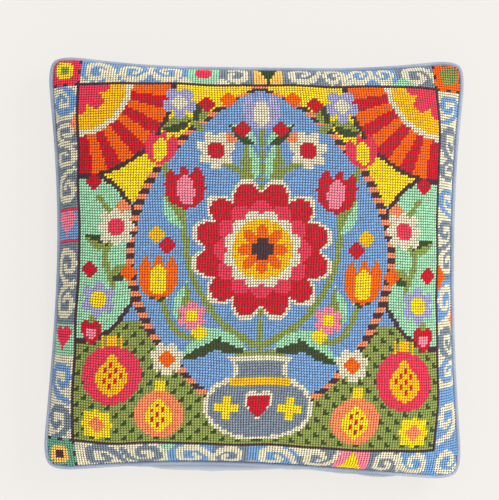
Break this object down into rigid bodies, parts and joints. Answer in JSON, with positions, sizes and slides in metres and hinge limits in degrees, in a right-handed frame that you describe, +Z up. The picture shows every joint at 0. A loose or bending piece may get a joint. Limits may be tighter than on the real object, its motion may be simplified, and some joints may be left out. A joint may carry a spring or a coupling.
{
  "type": "needlepoint cushion",
  "caption": "Square cushion with a floral needlepoint front in wool, a plain blue cloth back and a covered cord sewn into the seam",
  "frame": {"origin": "on the surface that the cushion lies on, under the middle of its outline", "axes": "+Z up out of the needlepoint front, +Y towards the top edge of its design, +X to the right of it"},
  "size_m": [0.4008, 0.402, 0.1],
  "materials": {
    "wool": "matte",
    "back_cloth": "matte",
    "cord_cloth": "matte"
  },
  "bodies": {
    "root": {"needlepoint_panel": "wool", "cushion": "back_cloth", "piping": "cord_cloth"}
  },
  "joints": []
}
